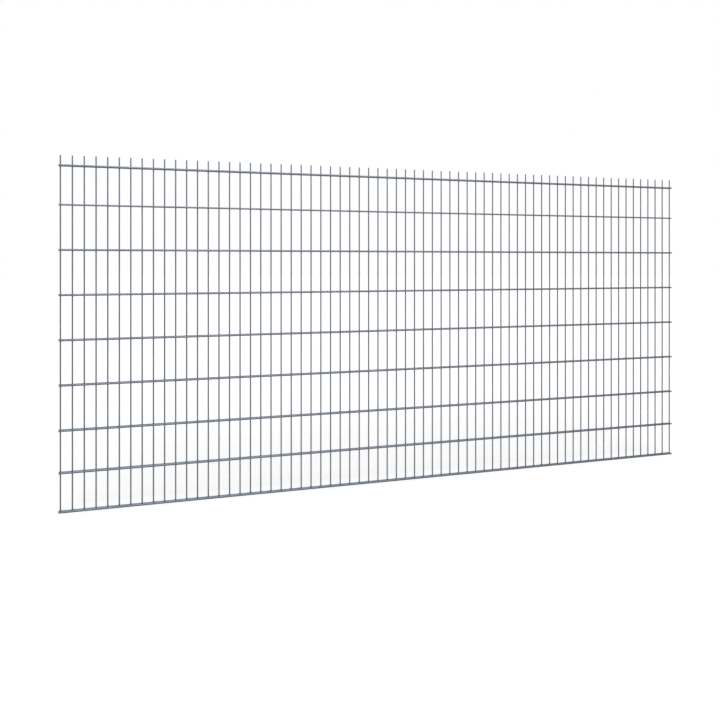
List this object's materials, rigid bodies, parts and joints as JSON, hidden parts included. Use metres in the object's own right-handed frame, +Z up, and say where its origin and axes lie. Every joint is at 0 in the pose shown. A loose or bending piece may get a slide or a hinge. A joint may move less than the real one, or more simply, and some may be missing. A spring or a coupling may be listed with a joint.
{
  "type": "double wire mesh fence panel",
  "caption": "Flat welded fence panel of upright wires held between paired front and rear horizontal wires, with short spikes along its top.",
  "frame": {"origin": "middle of the panel's length and thickness, on the underside of the bottom rails", "axes": "+X along the panel to the right end as seen from the front, +Y from the front rails to the rear rails, +Z up along the uprights"},
  "size_m": [3.318, 0.0242, 1.5835],
  "materials": {
    "rail_wire": "hot-dip galvanised, dull blue-grey zinc",
    "upright_wire": "hot-dip galvanised, dull blue-grey zinc"
  },
  "bodies": {
    "root": {"front_rail_1": "rail_wire", "rear_rail_1": "rail_wire", "front_rail_2": "rail_wire", "rear_rail_2": "rail_wire", "front_rail_3": "rail_wire", "rear_rail_3": "rail_wire", "front_rail_4": "rail_wire", "rear_rail_4": "rail_wire", "front_rail_5": "rail_wire", "rear_rail_5": "rail_wire", "front_rail_6": "rail_wire", "rear_rail_6": "rail_wire", "front_rail_7": "rail_wire", "rear_rail_7": "rail_wire", "front_rail_8": "rail_wire", "rear_rail_8": "rail_wire", "front_rail_9": "rail_wire", "rear_rail_9": "rail_wire", "left_end_upright": "upright_wire", "right_end_upright": "upright_wire", "middle_upright": "upright_wire", "upright_pair_01": "upright_wire", "upright_pair_02": "upright_wire", "upright_pair_03": "upright_wire", "upright_pair_04": "upright_wire", "upright_pair_05": "upright_wire", "upright_pair_06": "upright_wire", "upright_pair_07": "upright_wire", "upright_pair_08": "upright_wire", "upright_pair_09": "upright_wire", "upright_pair_10": "upright_wire", "upright_pair_11": "upright_wire", "upright_pair_12": "upright_wire", "upright_pair_13": "upright_wire", "upright_pair_14": "upright_wire", "upright_pair_15": "upright_wire", "upright_pair_16": "upright_wire", "upright_pair_17": "upright_wire", "upright_pair_18": "upright_wire", "upright_pair_19": "upright_wire", "upright_pair_20": "upright_wire", "upright_pair_21": "upright_wire", "upright_pair_22": "upright_wire", "upright_pair_23": "upright_wire", "upright_pair_24": "upright_wire", "upright_pair_25": "upright_wire", "upright_pair_26": "upright_wire", "upright_pair_27": "upright_wire", "upright_pair_28": "upright_wire", "upright_pair_29": "upright_wire", "upright_pair_30": "upright_wire", "upright_pair_31": "upright_wire", "upright_pair_32": "upright_wire"}
  },
  "joints": []
}
